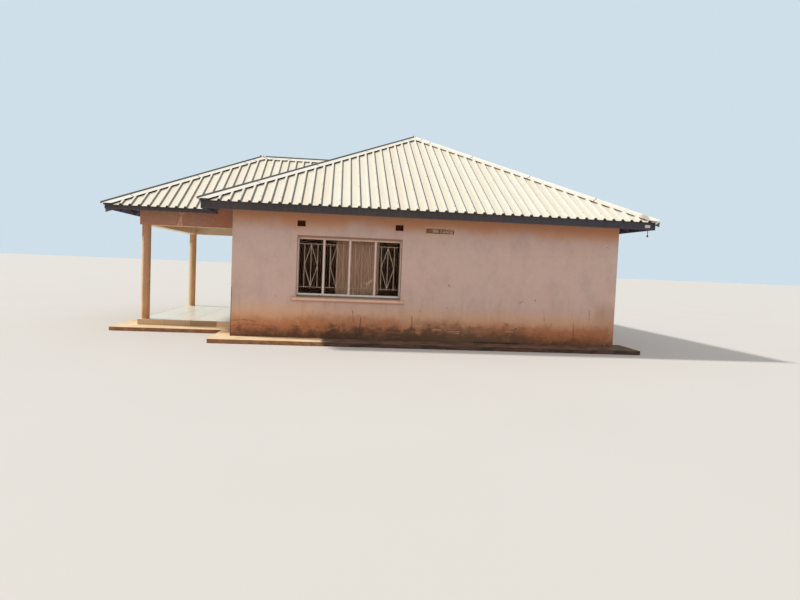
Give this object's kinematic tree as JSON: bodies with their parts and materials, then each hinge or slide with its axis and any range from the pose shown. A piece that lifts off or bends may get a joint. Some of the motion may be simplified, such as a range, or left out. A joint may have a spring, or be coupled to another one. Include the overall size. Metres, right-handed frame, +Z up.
{
  "type": "rectangular plastered house with a hipped metal roof and a side verandah",
  "caption": "Single-storey plastered house on a square plan with a pyramid roof of box-rib metal sheets and a hipped side verandah on round columns.",
  "frame": {"origin": "middle of the base of the whole outline, on the ground", "axes": "+X along the front wall to the right, +Y from the front wall into the house, +Z up"},
  "size_m": [12.089, 9.654, 5.3835],
  "materials": {
    "plaster": "matt painted plaster",
    "concrete": "rough floated concrete",
    "floor_tile": "glossy",
    "roof_metal": "satin",
    "cap_metal": "satin",
    "fascia": "painted dark",
    "timber": "rough sawn",
    "window_steel": "worn paint",
    "window_glass": "clear",
    "door_steel": "satin",
    "door_wood": "varnished",
    "vent_grille": "rough"
  },
  "bodies": {
    "root": {"front_wall": "plaster", "back_wall": "plaster", "left_wall": "plaster", "right_wall": "plaster", "near_column": "plaster", "far_column": "plaster", "front_beam": "plaster", "side_beam": "plaster", "back_beam": "plaster", "window_sills": "plaster", "floor_slab": "concrete", "apron": "concrete", "verandah_floor": "floor_tile", "front_roof": "roof_metal", "back_roof": "roof_metal", "left_roof": "roof_metal", "right_roof": "roof_metal", "verandah_front_roof": "roof_metal", "verandah_side_roof": "roof_metal", "verandah_back_roof": "roof_metal", "valley_gutters": "roof_metal", "hip_caps": "cap_metal", "verandah_caps": "cap_metal", "main_fascia": "fascia", "verandah_fascia": "fascia", "wall_plates": "timber", "hip_rafters": "timber", "front_rafters": "timber", "back_rafters": "timber", "left_rafters": "timber", "right_rafters": "timber", "verandah_ridge_board": "timber", "verandah_front_rafters": "timber", "verandah_back_rafters": "timber", "verandah_side_rafters": "timber", "front_window_frame": "window_steel", "back_window_frame": "window_steel", "right_window_frame": "window_steel", "left_window_frame": "window_steel", "front_window_panes": "window_glass", "back_window_panes": "window_glass", "right_window_panes": "window_glass", "left_window_panes": "window_glass", "door_frame": "door_steel", "door_leaf": "door_wood", "air_vents": "vent_grille"}
  },
  "joints": []
}
